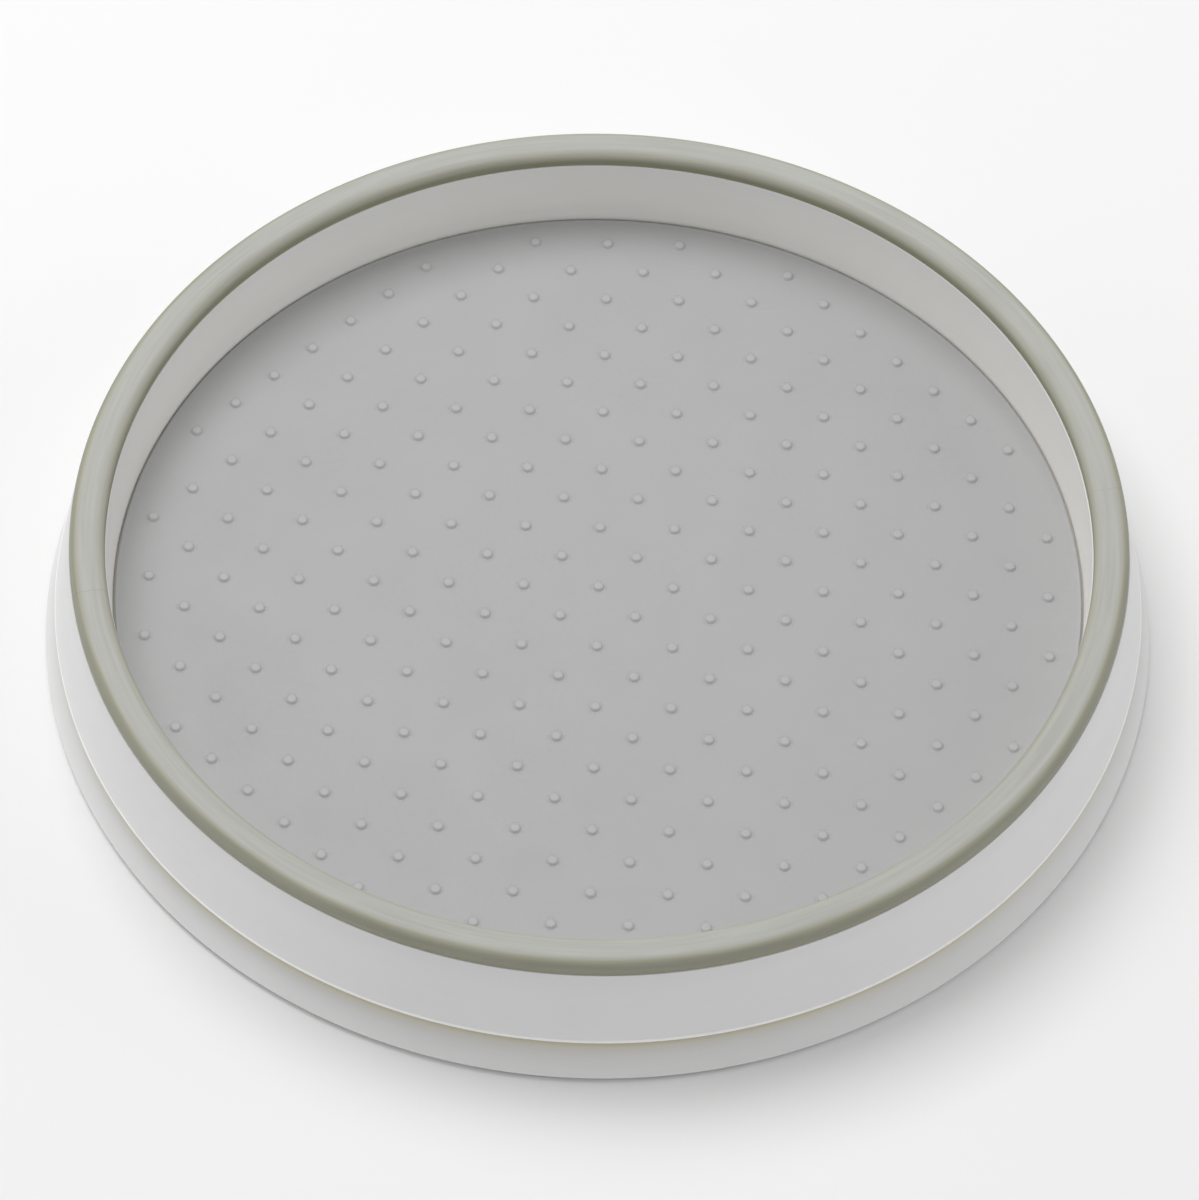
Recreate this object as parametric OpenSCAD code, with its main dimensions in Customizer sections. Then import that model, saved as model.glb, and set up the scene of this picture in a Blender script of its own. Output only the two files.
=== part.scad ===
// Two-part turntable: a soft-rimmed tray that rolls on a ring of balls over a low base.
// Origin on the table at the turning axis, +Z up, millimetres.

/* [Overall] */
// Outside diameter, at the foot of the base
outside_d = 304.8; // [302:0.1:308]
// Height of the base's lower edge above the table
base_edge_z = 1; // [0.6:0.1:1.4]
// Thickness of the moulded walls
wall_t = 2; // [1.8:0.1:2.2]

/* [Tray] */
// Height of the mat's flat face above the table
mat_top_z = 16; // [15.8:0.1:17]
// Radius of the tray's inner wall at its foot
inner_foot_r = 133.4; // [132:0.1:134]
// Radius of the tray's inner wall under the grip
inner_top_r = 134.3; // [134.2:0.1:135]
// Radius of the tray's skirt under the grip
skirt_top_r = 144.5; // [144.4:0.1:145]
// Radius of the tray's skirt at its lower edge
skirt_foot_r = 149.1; // [148.9:0.1:149.3]
// Height of the skirt's lower edge above the table
skirt_foot_z = 13.6; // [13.4:0.1:14]
// Height at which the grip sits on the wall
grip_seat_z = 37.65; // [36:0.05:40]
// Thickness of the tray's floor under the mat
tray_floor_t = 2.2; // [2:0.1:2.3]
// Number of stiffening ribs between the two walls of the tray
wall_rib_count = 24; // [12:4:36]

/* [Grip] */
// Width of the grip
grip_w = 9.7; // [9.4:0.1:9.9]
// Height of the grip above the wall
grip_h = 4.6; // [4.2:0.1:5]
// Radius of the grip's shoulders
grip_shoulder_r = 3.2; // [2.6:0.1:3.8]
// Width of the tongue that keys the grip into the wall
tongue_w = 3; // [2:0.5:4]
// Depth of the tongue
tongue_h = 1.2; // [0.8:0.1:1.4]

/* [Mat] */
// Thickness of the mat
mat_t = 1.2; // [1:0.1:1.4]
// Width of the groove left around the mat
mat_groove = 0.6; // [0.4:0.1:1]
// Distance between bumps along a row
bump_pitch = 20.6; // [20:0.1:22]
// Diameter of a bump
bump_d = 3.7; // [2.8:0.1:3.8]
// Height of a bump
bump_h = 0.7; // [0.5:0.1:1]
// Radius of the field that holds the bumps
bump_field_r = 128; // [126:1:129]

/* [Base] */
// Radius of the base's outer face at its upper edge
base_top_r = 147.8; // [147.6:0.1:149.2]
// Gap between the base's shoulder and the skirt above it
shoulder_gap = 0.8; // [0.6:0.1:1]
// Radius of the dust wall that stands inside the skirt, at its middle
dust_wall_r = 144.5; // [143.5:0.1:144.6]
// Height of the dust wall's top
dust_wall_z = 18; // [16:0.5:18.5]
// Height of the underside of the base's floor
base_floor_z = 2; // [1.8:0.1:2.2]
// Number of ribs in the channel under the base
channel_rib_count = 24; // [12:4:36]

/* [Bearing] */
// Radius of the ball track
track_r = 96; // [80:1:105]
// Number of balls
ball_count = 12; // [6:1:24]
// Diameter of a ball
ball_d = 4.76; // [4.6:0.02:4.9]
// Clearance between a ball and its track or pocket
ball_gap = 0.05; // [0.03:0.01:0.08]
// Width of each moulded track
track_w = 12; // [10:1:16]
// Thickness of the ball cage
cage_t = 1.8; // [1.4:0.1:2]

/* [Pivot] */
// Diameter of the tray's centre journal
journal_d = 12; // [11:0.5:13]
// Radial clearance of the journal in the base's hub
journal_gap = 0.08; // [0.05:0.01:0.1]
// Outer diameter of the base's hub
hub_d = 26; // [24:1:30]
// Diameter of the two washers
washer_d = 19; // [17:0.5:20]
// Diameter of the screw's shank
screw_d = 4; // [3.5:0.1:4.2]
// Diameter of the screw's head
screw_head_d = 8.4; // [7.5:0.1:9]

/* [Feet] */
// Number of feet
foot_count = 6; // [4:1:8]
// Distance of the feet from the axis
foot_ring_r = 126; // [124:1:128]
// Diameter of a foot
foot_d = 16; // [12:1:18]

/* [Hidden] */
$fn = 96;
// How far two joined shapes run into one another
eps = 0.01;
// How far a cutting shape reaches past the face that it opens
cut = 1;

// Edges are rounded over the full wall thickness
edge_r = wall_t / 2;

// Heights in the tray
tray_floor_z = mat_top_z - mat_t;
tray_under_z = tray_floor_z - tray_floor_t;
rib_t = 1.6;
wall_rib_clear = 2;
wall_rib_z = dust_wall_z + wall_rib_clear;

// Corners of the tray's double wall in section, on the middle line of the wall: [radius, height]
wall_foot = [inner_foot_r + edge_r, tray_floor_z - tray_floor_t / 2];
wall_head = [inner_top_r + edge_r, grip_seat_z - edge_r];
skirt_head = [skirt_top_r - edge_r, grip_seat_z - edge_r];
skirt_hem = [skirt_foot_r - edge_r, skirt_foot_z + edge_r];

// Ribs on the two floors, in two rings inside and outside the ball track
floor_rib_count = 12;
tray_rib_h = 1.3;
base_rib_h = 1.6;
tray_rib_start_r = hub_d / 2 + 2;
base_rib_start_r = hub_d / 2 - 1;

// Heights in the base
shoulder_z = skirt_foot_z - shoulder_gap;
base_floor_top_z = base_floor_z + wall_t;
channel_rib_z = base_floor_z + 1;

// Ends of the base's flared wall in section, on the middle line of the wall: [radius, height]
flare_foot = [outside_d / 2 - edge_r, base_edge_z + edge_r];
flare_head = [base_top_r - edge_r, shoulder_z - edge_r];

// Bearing: the balls run midway between the two mouldings
ball_z = (base_floor_top_z + tray_under_z) / 2;
groove_r = ball_d / 2 + ball_gap;
cage_float = 0.2;
track_half_gap = cage_t / 2 + cage_float;
cage_w = track_w + 1;
cage_window_w = 3;

// Pivot, from the journal's end downwards
washer_well_h = 3;
journal_end_z = base_floor_z + washer_well_h;
retaining_washer_t = 1.2;
slip_washer_t = 0.8;
slip_float = 0.1;
hub_shoulder_z = journal_end_z + slip_washer_t + slip_float;
hub_cover_t = 1.4;
hub_neck_rise = 1.7;
hub_top_z = ball_z + hub_neck_rise;
hub_wall_t = 3;
bore_r = journal_d / 2 + journal_gap;
screw_head_h = 2;
screw_head_bevel = 0.6;
screw_reach = 8;
screw_fit = 0.05;
washer_hole_gap = 0.15;
pilot_spare = 0.5;
well_gap = 0.5;
recess_w = 1.2;
recess_l = 4.6;
recess_h = 1.2;

// Feet
foot_press_h = 1.4;
foot_seat_z = base_floor_z + foot_press_h;
foot_boss_t = 1.6;
foot_boss_margin = 2;
foot_chamfer = 0.5;

// A straight stretch of wall in section, of thickness t with round ends, from p to q
module wall_strip(p, q, t = wall_t) {
    along = q - p;
    side = [-along.y, along.x] / norm(along) * t / 2;
    polygon([p + side, q + side, q - side, p - side]);
    translate(p) circle(d = t);
    translate(q) circle(d = t);
}

// Places its children n times around the axis, the first one on +X
module around(n, offset_angle = 0) {
    for (i = [0 : n - 1]) rotate(offset_angle + i * 360 / n) children();
}

// A flat ring
module ring(outer_r, inner_r, z0, z1) {
    rotate_extrude() translate([inner_r, z0]) square([outer_r - inner_r, z1 - z0]);
}

// A straight radial rib
module rib(r0, r1, z0, z1) {
    translate([r0, -rib_t / 2, z0]) cube([r1 - r0, rib_t, z1 - z0]);
}

// The ribs on one line out from the axis, before and behind the track
module rib_line(start_r, end_r, z0, z1) {
    rib(start_r, track_r - track_w / 2 + eps, z0, z1);
    rib(track_r + track_w / 2 - eps, end_r, z0, z1);
}

// The ring of round groove that the balls roll in
module ball_groove() {
    rotate_extrude() translate([track_r, ball_z]) circle(r = groove_r);
}

// Section of the tray's inner wall, top web and skirt, which make an inverted U
module tray_wall_section() {
    wall_strip(wall_foot, wall_head);
    wall_strip(skirt_head, skirt_hem);
    translate([inner_top_r, grip_seat_z - wall_t]) square([skirt_top_r - inner_top_r, wall_t]);
}

// Radius at height z on the straight line from p to q
function radius_at(p, q, z) = p.x + (q.x - p.x) * (z - p.y) / (q.y - p.y);

// A radial rib whose outline in section joins the given corners
module web_rib(corners) {
    rotate([90, 0, 0]) linear_extrude(rib_t, center = true) polygon(corners);
}

// A rib that joins the tray's two walls from its top web down to wall_rib_z
module wall_rib() {
    foot_r = radius_at(wall_foot, wall_head, wall_rib_z);
    hem_r = radius_at(skirt_head, skirt_hem, wall_rib_z);
    web_rib([wall_head, skirt_head, [hem_r, wall_rib_z], [foot_r, wall_rib_z]]);
}

module tray_shell() color("whitesmoke") difference() {
    union() {
        rotate_extrude() {
            tray_wall_section();
            translate([0, tray_under_z]) square([inner_foot_r + edge_r, tray_floor_t]);
        }
        around(wall_rib_count) wall_rib();
        // Upper ball track
        ring(track_r + track_w / 2, track_r - track_w / 2, ball_z + track_half_gap, tray_under_z + eps);
        // Centre journal
        translate([0, 0, journal_end_z]) cylinder(d = journal_d, h = tray_under_z - journal_end_z + eps);
        // Ribs under the floor
        around(floor_rib_count)
            rib_line(tray_rib_start_r, inner_foot_r, tray_under_z - tray_rib_h, tray_under_z + eps);
    }
    ball_groove();
    // Groove that takes the grip's tongue
    ring((inner_top_r + skirt_top_r + tongue_w) / 2, (inner_top_r + skirt_top_r - tongue_w) / 2,
         grip_seat_z - tongue_h, grip_seat_z + cut);
    // Pilot hole for the screw
    translate([0, 0, journal_end_z - cut])
        cylinder(r = screw_d / 2 + screw_fit, h = screw_reach + cut + pilot_spare);
}

module rim_grip() color("darkseagreen") rotate_extrude() {
    middle_r = (inner_top_r + skirt_top_r) / 2;
    shoulder_reach = grip_w / 2 - grip_shoulder_r;
    side_h = grip_h - grip_shoulder_r;
    translate([middle_r, grip_seat_z]) {
        intersection() {
            for (side = [-1, 1]) translate([side * shoulder_reach, side_h]) circle(r = grip_shoulder_r);
            translate([-grip_w, 0]) square([2 * grip_w, 2 * grip_h]);
        }
        translate([-shoulder_reach, 0]) square([2 * shoulder_reach, grip_h]);
        translate([-grip_w / 2, 0]) square([grip_w, side_h]);
    }
    translate([middle_r - tongue_w / 2, grip_seat_z - tongue_h]) square([tongue_w, tongue_h + eps]);
}

// A low dome, the cap of a sphere, standing on the mat and rooted in it
module bump() {
    dome_r = (pow(bump_d / 2, 2) + pow(bump_h, 2)) / (2 * bump_h);
    root = mat_t / 2;
    rotate_extrude() intersection() {
        translate([0, bump_h - dome_r]) circle(r = dome_r);
        translate([0, -root]) square([bump_d / 2, bump_h + root]);
    }
}

// Bumps stand on a square lattice turned 45 degrees: rows half a pitch apart, every second row shifted
module bump_field() {
    rows = ceil(2 * bump_field_r / bump_pitch);
    for (row = [-rows : rows]) {
        shift = (row % 2 == 0) ? 0 : 0.5;
        for (column = [-rows : rows]) {
            spot = [(column + shift) * bump_pitch, row * bump_pitch / 2];
            if (norm(spot) < bump_field_r) translate([spot.x, spot.y, mat_top_z]) bump();
        }
    }
}

module tray_mat() color("darkgray") {
    mat_r = inner_foot_r - mat_groove;
    union() {
        translate([0, 0, tray_floor_z]) cylinder(r = mat_r, h = mat_t);
        bump_field();
    }
}

// Section of the base's flared outer wall, shoulder, dust wall and floor
module base_section() {
    dust_top = [dust_wall_r, dust_wall_z - edge_r];
    dust_foot = [dust_wall_r, base_floor_z + edge_r];
    wall_strip(flare_foot, flare_head);
    wall_strip(flare_head, [dust_wall_r, flare_head.y]);
    wall_strip(dust_top, dust_foot);
    translate([0, base_floor_z]) square([dust_wall_r, wall_t]);
}

// A rib that joins the dust wall and the flared wall
module channel_rib() {
    low_r = radius_at(flare_foot, flare_head, channel_rib_z);
    foot = [[dust_wall_r, channel_rib_z], [low_r, channel_rib_z]];
    web_rib(concat(foot, [flare_head, [dust_wall_r, flare_head.y]]));
}

module base_shell() color("white") difference() {
    union() {
        rotate_extrude() base_section();
        // Ribs in the channel under the shoulder
        around(channel_rib_count) channel_rib();
        // Lower ball track
        ring(track_r + track_w / 2, track_r - track_w / 2, base_floor_top_z - eps, ball_z - track_half_gap);
        // Hub
        translate([0, 0, base_floor_z]) cylinder(d = hub_d, h = hub_shoulder_z + hub_cover_t - base_floor_z);
        translate([0, 0, base_floor_z]) cylinder(r = bore_r + hub_wall_t, h = hub_top_z - base_floor_z);
        // Ribs on the floor
        around(floor_rib_count, 180 / floor_rib_count)
            rib_line(base_rib_start_r, dust_wall_r, base_floor_top_z - eps, base_floor_top_z + base_rib_h);
        // Bosses over the feet
        around(foot_count) translate([foot_ring_r, 0, base_floor_z])
            cylinder(d = foot_d + 2 * foot_boss_margin, h = foot_seat_z - base_floor_z + foot_boss_t);
    }
    ball_groove();
    // Bore for the journal
    translate([0, 0, base_floor_z - cut]) cylinder(r = bore_r, h = hub_top_z);
    // Well for the washers and the screw's head
    translate([0, 0, base_floor_z - cut])
        cylinder(r = washer_d / 2 + well_gap, h = hub_shoulder_z - base_floor_z + cut);
    // Seats for the feet
    around(foot_count) translate([foot_ring_r, 0, base_floor_z - cut])
        cylinder(d = foot_d, h = foot_seat_z - base_floor_z + cut);
}

module ball_cage() color("lightblue") difference() {
    ring(track_r + cage_w / 2, track_r - cage_w / 2, ball_z - cage_t / 2, ball_z + cage_t / 2);
    around(ball_count) translate([track_r, 0, ball_z - cage_t]) cylinder(r = groove_r, h = 2 * cage_t);
    // Two round lightening windows between each pair of pockets
    around(ball_count, 180 / ball_count) for (side = [-1, 1])
        translate([track_r, side * cage_w / 2, ball_z - cage_t]) cylinder(r = cage_window_w, h = 2 * cage_t);
}

// One ball in its pocket, the first one on +X
module ball(i) color("silver") rotate((i - 1) * 360 / ball_count)
    translate([track_r, 0, ball_z]) sphere(d = ball_d);

// A washer of thickness t standing on z0
module washer(z0, t, hole_r) {
    translate([0, 0, z0]) difference() {
        cylinder(d = washer_d, h = t);
        translate([0, 0, -cut]) cylinder(r = hole_r, h = t + 2 * cut);
    }
}

module slip_washer() color("ivory") washer(journal_end_z + slip_float / 2, slip_washer_t, bore_r);

module retaining_washer() color("silver")
    washer(journal_end_z - retaining_washer_t, retaining_washer_t, screw_d / 2 + washer_hole_gap);

module pivot_screw() color("silver") {
    head_z = journal_end_z - retaining_washer_t - screw_head_h;
    bevel = screw_head_bevel;
    difference() {
        union() {
            translate([0, 0, head_z]) cylinder(d1 = screw_head_d - 2 * bevel, d2 = screw_head_d, h = bevel);
            translate([0, 0, head_z + bevel]) cylinder(d = screw_head_d, h = screw_head_h - bevel);
            translate([0, 0, head_z + cut])
                cylinder(d = screw_d, h = journal_end_z + screw_reach - head_z - cut);
        }
        // Cross recess for the driver
        for (turn = [0, 90])
            rotate(turn) translate([-recess_l / 2, -recess_w / 2, head_z - cut])
                cube([recess_l, recess_w, recess_h + cut]);
    }
}

// One rubber foot, the first one on +X
module foot(i) color("dimgray") rotate((i - 1) * 360 / foot_count) translate([foot_ring_r, 0, 0]) {
    cylinder(d1 = foot_d - 2 * foot_chamfer, d2 = foot_d, h = foot_chamfer);
    translate([0, 0, foot_chamfer]) cylinder(d = foot_d, h = foot_seat_z - foot_chamfer);
}

base_shell();
tray_shell();
rim_grip();
tray_mat();
ball_cage();
pivot_screw();
retaining_washer();
slip_washer();
for (i = [1 : ball_count]) ball(i);
for (i = [1 : foot_count]) foot(i);
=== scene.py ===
import math

import bmesh
import bpy
from bpy.props import FloatProperty, FloatVectorProperty, IntProperty, PointerProperty
from bpy.types import Operator, Panel, PropertyGroup
from mathutils import Matrix, Vector
from mathutils.geometry import delaunay_2d_cdt


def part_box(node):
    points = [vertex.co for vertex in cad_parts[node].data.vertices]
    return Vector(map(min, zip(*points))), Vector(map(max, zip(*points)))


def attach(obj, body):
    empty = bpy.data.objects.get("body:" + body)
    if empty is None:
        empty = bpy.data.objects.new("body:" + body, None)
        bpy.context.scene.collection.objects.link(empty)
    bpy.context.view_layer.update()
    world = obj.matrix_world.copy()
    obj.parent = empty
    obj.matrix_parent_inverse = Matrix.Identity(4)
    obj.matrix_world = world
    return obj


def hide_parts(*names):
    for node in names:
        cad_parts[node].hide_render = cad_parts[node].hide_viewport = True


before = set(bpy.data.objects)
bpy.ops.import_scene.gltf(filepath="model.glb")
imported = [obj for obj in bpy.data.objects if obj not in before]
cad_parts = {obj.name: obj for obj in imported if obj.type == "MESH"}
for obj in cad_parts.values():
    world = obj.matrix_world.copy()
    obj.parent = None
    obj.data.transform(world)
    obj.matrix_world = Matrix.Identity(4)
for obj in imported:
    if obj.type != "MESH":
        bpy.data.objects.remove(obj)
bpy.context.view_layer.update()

bl_info = {
    "name": "Turntable Parts",
    "version": (1, 0, 0),
    "blender": (4, 5, 0),
    "location": "View3D > Sidebar > Turntable",
    "description": "Builds the detailed pieces, materials and stage of a two-part kitchen turntable",
    "category": "Object",
}

MM = 0.001
TURN_STEPS = 288
SMALL_TURN_STEPS = 64
SHARP_ANGLE = math.radians(32)
RIB_WALL = 1.6 * MM
WALL_RIBS = 24
SPOKES = 12
FINE, SMALL, SOFT = 0.1 * MM, 0.3 * MM, 0.5 * MM  # edge roundings
RUN_IN = 0.2 * MM  # how far a rib runs into a track
CUT = 1 * MM  # how far a cutting tool stands clear of what it cuts
WINDOW = 3 * MM  # radius of the cage's windows
SKIRT_LEAN = math.radians(11.9)  # slope of the ribs' edge inside the skirt

_, tray_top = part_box("tray_shell")
grip_low, grip_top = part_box("rim_grip")
mat_low, mat_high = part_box("tray_mat")
base_low, base_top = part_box("base_shell")
cage_low, cage_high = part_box("ball_cage")
foot_low, foot_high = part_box("foot_1")
screw_low, screw_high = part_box("pivot_screw")
washer_low, washer_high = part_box("retaining_washer")
slip_low, slip_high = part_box("slip_washer")
ball_height = (cage_low.z + cage_high.z) / 2

BALLS = [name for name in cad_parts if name.startswith("ball_") and name != "ball_cage"]
FEET = [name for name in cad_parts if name.startswith("foot_")]


# ---------------------------------------------------------------- sizes and colours

def length(name, description, default):
    return FloatProperty(name=name, description=description, default=default, min=0, unit="LENGTH",
                         precision=5)


def colour(name, description, default):
    return FloatVectorProperty(name=name, description=description, default=default, subtype="COLOR",
                               size=3, min=0, max=1)


def power(name, description, default):
    return FloatProperty(name=name, description=description, default=default, min=0, unit="POWER")


class BaseSizes(PropertyGroup):
    wall: length("Wall", "Thickness of the moulded walls", 2 * MM)
    outside_radius: length("Outside radius", "Radius at the foot of the flared wall",
                           base_top.x - 0.01 * MM)
    shoulder_radius: length("Shoulder radius", "Radius of the flared wall's upper edge", 147.8 * MM)
    shoulder_height: length("Shoulder height", "Height of the ledge under the tray's skirt", 12.8 * MM)
    floor_height: length("Floor height", "Height of the floor's underside", 2 * MM)
    dust_wall_radius: length("Dust wall radius", "Middle radius of the wall inside the skirt", 144.5 * MM)
    hub_radius: length("Hub radius", "Radius of the wide part of the hub", 13 * MM)
    bore_radius: length("Bore radius", "Radius of the hub's bore", 6.08 * MM)
    well_radius: length("Well radius", "Radius of the washer well under the hub", 10 * MM)
    foot_ring_radius: length("Feet radius", "Distance of the feet from the axis", 126 * MM)


class TraySizes(PropertyGroup):
    wall: length("Wall", "Thickness of the moulded walls", 2 * MM)
    inner_foot_radius: length("Inner foot", "Radius of the inner wall at the floor", 133.4 * MM)
    inner_top_radius: length("Inner top", "Radius of the inner wall under the grip", 134.3 * MM)
    skirt_top_radius: length("Skirt top", "Radius of the skirt under the grip", 144.5 * MM)
    skirt_foot_radius: length("Skirt foot", "Radius of the skirt's lower edge", tray_top.x)
    skirt_foot_height: length("Skirt foot height", "Height of the skirt's lower edge", 13.6 * MM)
    floor_wall: length("Floor thickness", "Thickness of the tray's floor", 2.2 * MM)
    journal_radius: length("Journal radius", "Radius of the centre journal", 6 * MM)
    hem_lip: length("Hem lip", "How far the thin lip stands out at the skirt's lower edge", 0.25 * MM)
    lip_rise: length("Lip rise", "Height of that lip's face", 0.55 * MM)
    grip_shoulder: length("Grip shoulder", "Radius of the grip's shoulders", 3.2 * MM)
    grip_edge: length("Grip edge", "Radius of the grip's small lower edges", 0.25 * MM)
    tongue_width: length("Tongue width", "Width of the tongue under the grip", 3 * MM)


class BearingSizes(PropertyGroup):
    track_radius: length("Track radius", "Radius of the circle that the balls run on", 96 * MM)
    track_width: length("Track width", "Width of each moulded track", 12 * MM)
    groove_radius: length("Groove radius", "Section radius of the ball groove", 2.43 * MM)
    land_gap: length("Land gap", "Height of the track lands above and below the balls' centres", 1.1 * MM)


class MatSizes(PropertyGroup):
    thickness: length("Thickness", "Thickness of the mat between its bumps", 1.2 * MM)
    bump_pitch: length("Bump pitch", "Distance between bumps along a row", 20.6 * MM)
    bump_radius: length("Bump radius", "Radius of a bump at its foot", 1.85 * MM)
    bump_field: length("Bump field", "Radius of the field that holds the bumps", 128 * MM)
    bump_fillet: length("Bump fillet", "Radius of the blend at a bump's foot", 0.25 * MM)
    bump_sides: IntProperty(name="Bump sides", description="Steps round each bump", default=28, min=8)


class PivotSizes(PropertyGroup):
    shank_radius: length("Shank radius", "Radius over the screw's thread", 2 * MM)
    thread_depth: length("Thread depth", "Depth of the screw's thread", 0.45 * MM)
    thread_pitch: length("Thread pitch", "Distance between turns of the thread", 1.4 * MM)
    recess_reach: length("Recess reach", "How far the cross recess reaches from the axis", 2.6 * MM)
    recess_width: length("Recess width", "Width of each arm of the cross recess", 1.1 * MM)
    washer_hole: length("Washer hole", "Radius of the hole in the steel washer", 2.2 * MM)
    slip_hole: length("Slip washer hole", "Radius of the hole in the slip washer", 6.1 * MM)


class Finishes(PropertyGroup):
    tray_white: colour("Tray", "Off-white polypropylene of the tray", (0.84, 0.84, 0.838))
    base_white: colour("Base", "Off-white polypropylene of the base", (0.785, 0.785, 0.78))
    grip_sage: colour("Grip", "Sage-grey soft elastomer", (0.45, 0.452, 0.417))
    mat_grey: colour("Mat", "Neutral grey non-slip elastomer", (0.428, 0.428, 0.43))
    foot_grey: colour("Feet", "Dark grey rubber", (0.05, 0.05, 0.05))
    cage_acetal: colour("Cage", "Natural acetal", (0.72, 0.74, 0.74))
    floor_pale: colour("Floor", "Pale studio floor", (0.93, 0.93, 0.93))


class StageSettings(PropertyGroup):
    view_height: FloatProperty(name="View height", description="Camera elevation", unit="ROTATION",
                               default=math.radians(52.465))
    view_turn: FloatProperty(name="View turn", description="Camera turned about the upright axis",
                             unit="ROTATION", default=math.radians(0.248))
    view_roll: FloatProperty(name="View roll", description="Camera roll", unit="ROTATION",
                             default=math.radians(1.198))
    view_distance: length("View distance", "Camera distance from its aim point", 1.9223)
    lens: FloatProperty(name="Lens", description="Focal length in millimetres", default=209.775)
    key_power: power("Key power", "Power of the large softbox behind and above", 21.9)
    left_power: power("Left power", "Power of the left-hand softbox", 3.9)
    right_power: power("Right power", "Power of the right-hand softbox", 6.1)
    front_power: power("Front power", "Power of the low softbox in front", 1.4)
    room_light: FloatProperty(name="Room light", description="Strength of the white surroundings",
                              default=0.45)


# ---------------------------------------------------------------- outlines in (radius, height)

def arc(centre, radius, start, stop, steps):
    """Points on an arc from start to stop, in degrees, 0 pointing outwards and 90 up."""
    angles = [math.radians(start + (stop - start) * k / steps) for k in range(steps + 1)]
    return [Vector((centre[0] + radius * math.cos(a), centre[1] + radius * math.sin(a))) for a in angles]


def offset_line(p, q, distance):
    """The line from p to q moved to its right-hand side."""
    along = (q - p).normalized()
    side = Vector((along.y, -along.x)) * distance
    return p + side, q + side


def rounded(corners, steps=6, hold=0.15 * MM):
    """Points of an outline. A corner is (radius, height, rounding); a Vector or a rounding of 0 is kept.

    Each rounding is an arc with one extra point on either side, which keeps the flats flat when the
    mesh is shaded smooth. Where two roundings leave no room between them the extra point is left out.
    """
    points = []
    count = len(corners)
    places = [Vector(corner[:2]) for corner in corners]
    reaches = [corner_reach(corners, places, i) for i in range(count)]
    for i, here in enumerate(places):
        reach = reaches[i]
        if not reach:
            points.append(here)
            continue
        after = (i + 1) % count
        to_last = (places[i - 1] - here).normalized()
        to_next = (places[after] - here).normalized()
        half = to_last.angle(to_next) / 2
        centre = here + (to_last + to_next).normalized() * reach / math.cos(half)
        start = here + to_last * reach - centre
        turn = start.angle_signed(here + to_next * reach - centre)
        spare_before = (places[i - 1] - here).length - reach - reaches[i - 1]
        spare_after = (places[after] - here).length - reach - reaches[after]
        if spare_before > 2 * hold:
            points.append(here + to_last * (reach + hold))
        for k in range(steps + 1):
            points.append(centre + Matrix.Rotation(-turn * k / steps, 2) @ start)
        if spare_after > 2 * hold:
            points.append(here + to_next * (reach + hold))
    return points


def corner_reach(corners, places, i):
    """How far from corner i its rounding begins."""
    if isinstance(corners[i], Vector) or not corners[i][2]:
        return 0
    to_last = places[i - 1] - places[i]
    to_next = places[(i + 1) % len(places)] - places[i]
    return corners[i][2] / math.tan(to_last.angle(to_next) / 2)


# ---------------------------------------------------------------- meshes

def finished_object(name, bm):
    """Turns a bmesh into a smooth-shaded object whose folded edges stay sharp."""
    bmesh.ops.recalc_face_normals(bm, faces=bm.faces)
    mesh = bpy.data.meshes.new(name)
    bm.to_mesh(mesh)
    bm.free()
    shade(mesh)
    made = bpy.data.objects.new(name, mesh)
    bpy.context.scene.collection.objects.link(made)
    return made


def shade(mesh):
    mesh.polygons.foreach_set("use_smooth", [True] * len(mesh.polygons))
    mesh.set_sharp_from_angle(angle=SHARP_ANGLE)


def add_turned(bm, points, steps, centre=(0, 0), closed=True):
    """Turns an outline about the vertical through centre. Points on the axis become one vertex."""
    rings = []
    for r, z in points:
        if r < 1e-7:
            rings.append([bm.verts.new((centre[0], centre[1], z))])
            continue
        angles = [2 * math.pi * k / steps for k in range(steps)]
        rings.append([bm.verts.new((centre[0] + r * math.cos(a), centre[1] + r * math.sin(a), z))
                      for a in angles])
    pairs = zip(rings, rings[1:] + rings[:1]) if closed else zip(rings, rings[1:])
    for lower, upper in pairs:
        for k in range(steps):
            ahead = (k + 1) % steps
            corners = [lower[k % len(lower)], lower[ahead % len(lower)],
                       upper[ahead % len(upper)], upper[k % len(upper)]]
            distinct = list(dict.fromkeys(corners))
            if len(distinct) > 2:
                bm.faces.new(distinct)


def turned(name, points, steps=TURN_STEPS, centre=(0, 0), closed=True):
    bm = bmesh.new()
    add_turned(bm, points, steps, centre, closed)
    return finished_object(name, bm)


def add_rib(bm, corners, thickness, angle):
    """A radial rib: the (radius, height) corners made thickness thick, at an angle round the axis."""
    spin = Matrix.Rotation(angle, 3, "Z")
    sides = []
    for y in (-thickness / 2, thickness / 2):
        sides.append([bm.verts.new(spin @ Vector((r, y, z))) for r, z in corners])
    bm.faces.new(sides[0])
    bm.faces.new(list(reversed(sides[1])))
    count = len(corners)
    for k in range(count):
        ahead = (k + 1) % count
        bm.faces.new([sides[0][ahead], sides[0][k], sides[1][k], sides[1][ahead]])


def ring_of_ribs(name, corners, thickness, count, first_angle=0.0):
    bm = bmesh.new()
    for k in range(count):
        add_rib(bm, corners, thickness, first_angle + 2 * math.pi * k / count)
    return finished_object(name, bm)


def spokes(name, t, reach, low, high, first):
    """Floor ribs over the reach (inner, outer), broken by the ball track; first is in rib steps."""
    spans = ((reach[0], t.track_radius - t.track_width / 2 + RUN_IN),
             (t.track_radius + t.track_width / 2 - RUN_IN, reach[1]))
    step = 360 / SPOKES
    bm = bmesh.new()
    for inner, outer in spans:
        corners = [(inner, low), (outer, low), (outer, high), (inner, high)]
        for k in range(SPOKES):
            add_rib(bm, corners, RIB_WALL, math.radians(first * step + step * k))
    return finished_object(name, bm)


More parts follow.
